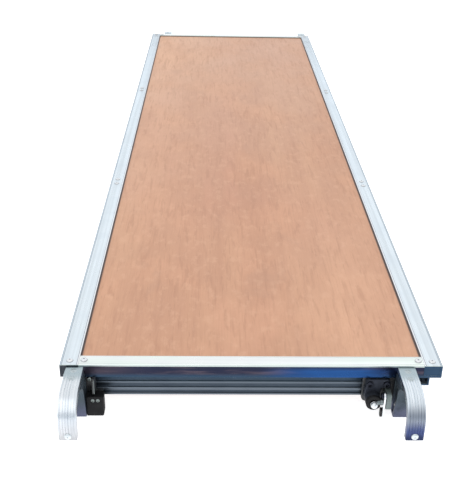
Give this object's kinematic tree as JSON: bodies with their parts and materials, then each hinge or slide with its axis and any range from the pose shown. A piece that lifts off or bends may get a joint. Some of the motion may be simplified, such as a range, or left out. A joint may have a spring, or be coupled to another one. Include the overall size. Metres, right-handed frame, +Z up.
{
  "type": "hook-on scaffold stage deck",
  "caption": "Long plywood deck in an aluminium frame with steel hooks at both ends that sit over scaffold tubes, and a sprung lift-off lock beside one hook of each end.",
  "frame": {"origin": "under the middle of the deck, on the surface that the four hook legs stand on", "axes": "+Z up, +Y along the deck's length, +X across it, to the right seen from the near end"},
  "size_m": [0.48, 1.8998, 0.076],
  "materials": {
    "plywood": "satin film-faced plywood",
    "frame_aluminium": "satin mill finish",
    "cap_aluminium": "satin",
    "rivet_aluminium": "bright",
    "hook_steel": "brushed zinc plate",
    "leg_casting": "dull cast",
    "plate_paint": "satin black",
    "lock_casting": "dull cast",
    "lock_steel": "bright",
    "spring_steel": "bright",
    "fastener_steel": "zinc plated",
    "rubber": "matt black",
    "grip_plastic": "moulded black"
  },
  "bodies": {
    "deck_frame": {"cleat_rivets": "rivet_aluminium", "deck_bearing_strips": "rubber", "far_buffer_block": "rubber", "far_buffer_screws": "fastener_steel", "far_cross_member": "frame_aluminium", "far_end_beam": "frame_aluminium", "far_end_trim": "frame_aluminium", "far_hook_bolts": "fastener_steel", "far_hook_rivets": "rivet_aluminium", "far_inner_hook_leg": "leg_casting", "far_inner_hook_plate": "plate_paint", "far_inner_hook_strap": "hook_steel", "far_lever_pivot_screw": "fastener_steel", "far_lock_collar": "rubber", "far_lock_end_plug": "lock_casting", "far_lock_guide_lug": "lock_casting", "far_lock_housing": "lock_casting", "far_lock_screws": "fastener_steel", "far_lock_spring": "spring_steel", "far_outer_hook_leg": "leg_casting", "far_outer_hook_plate": "plate_paint", "far_outer_hook_strap": "hook_steel", "far_plate_screws": "fastener_steel", "frame_cleats": "frame_aluminium", "frame_rivets": "rivet_aluminium", "left_side_rail": "frame_aluminium", "near_buffer_block": "rubber", "near_buffer_screws": "fastener_steel", "near_cross_member": "frame_aluminium", "near_end_beam": "frame_aluminium", "near_end_trim": "frame_aluminium", "near_hook_bolts": "fastener_steel", "near_hook_rivets": "rivet_aluminium", "near_inner_hook_leg": "leg_casting", "near_inner_hook_plate": "plate_paint", "near_inner_hook_strap": "hook_steel", "near_lever_pivot_screw": "fastener_steel", "near_lock_collar": "rubber", "near_lock_end_plug": "lock_casting", "near_lock_guide_lug": "lock_casting", "near_lock_housing": "lock_casting", "near_lock_screws": "fastener_steel", "near_lock_spring": "spring_steel", "near_outer_hook_leg": "leg_casting", "near_outer_hook_plate": "plate_paint", "near_outer_hook_strap": "hook_steel", "near_plate_screws": "fastener_steel", "plywood_deck": "plywood", "rail_end_caps": "cap_aluminium", "right_side_rail": "frame_aluminium"},
    "near_plunger": {"near_cross_pin_bush": "lock_steel", "near_lock_cross_pin": "lock_steel", "near_lock_plunger": "lock_steel"},
    "far_plunger": {"far_cross_pin_bush": "lock_steel", "far_lock_cross_pin": "lock_steel", "far_lock_plunger": "lock_steel"},
    "near_lever": {"near_lever_grip": "grip_plastic", "near_lock_lever": "lock_steel"},
    "far_lever": {"far_lever_grip": "grip_plastic", "far_lock_lever": "lock_steel"}
  },
  "joints": [
    {"name": "near_lever_hinge", "type": "hinge", "parent": "deck_frame", "child": "near_lever", "pos_m": [0.16775, -0.884, 0.036], "axis": [1, 0, 0], "range_deg": [0, 21], "stiffness_Nm_per_rad": 0.28, "springref_deg": -12.32},
    {"name": "near_plunger_slide", "type": "slide", "parent": "deck_frame", "child": "near_plunger", "axis": [0, 1, 0], "range_m": [0, 0.00341], "deforming": ["near_lock_spring"]},
    {"name": "far_lever_hinge", "type": "hinge", "parent": "deck_frame", "child": "far_lever", "pos_m": [-0.16775, 0.884, 0.036], "axis": [-1, 0, 0], "range_deg": [0, 21], "stiffness_Nm_per_rad": 0.28, "springref_deg": -12.32},
    {"name": "far_plunger_slide", "type": "slide", "parent": "deck_frame", "child": "far_plunger", "axis": [0, -1, 0], "range_m": [0, 0.00341], "deforming": ["far_lock_spring"]}
  ],
  "couplings": [
    {"joint": "near_plunger_slide", "follows": "near_lever_hinge", "m_per_rad": 0.0093},
    {"joint": "far_plunger_slide", "follows": "far_lever_hinge", "m_per_rad": 0.0093}
  ]
}
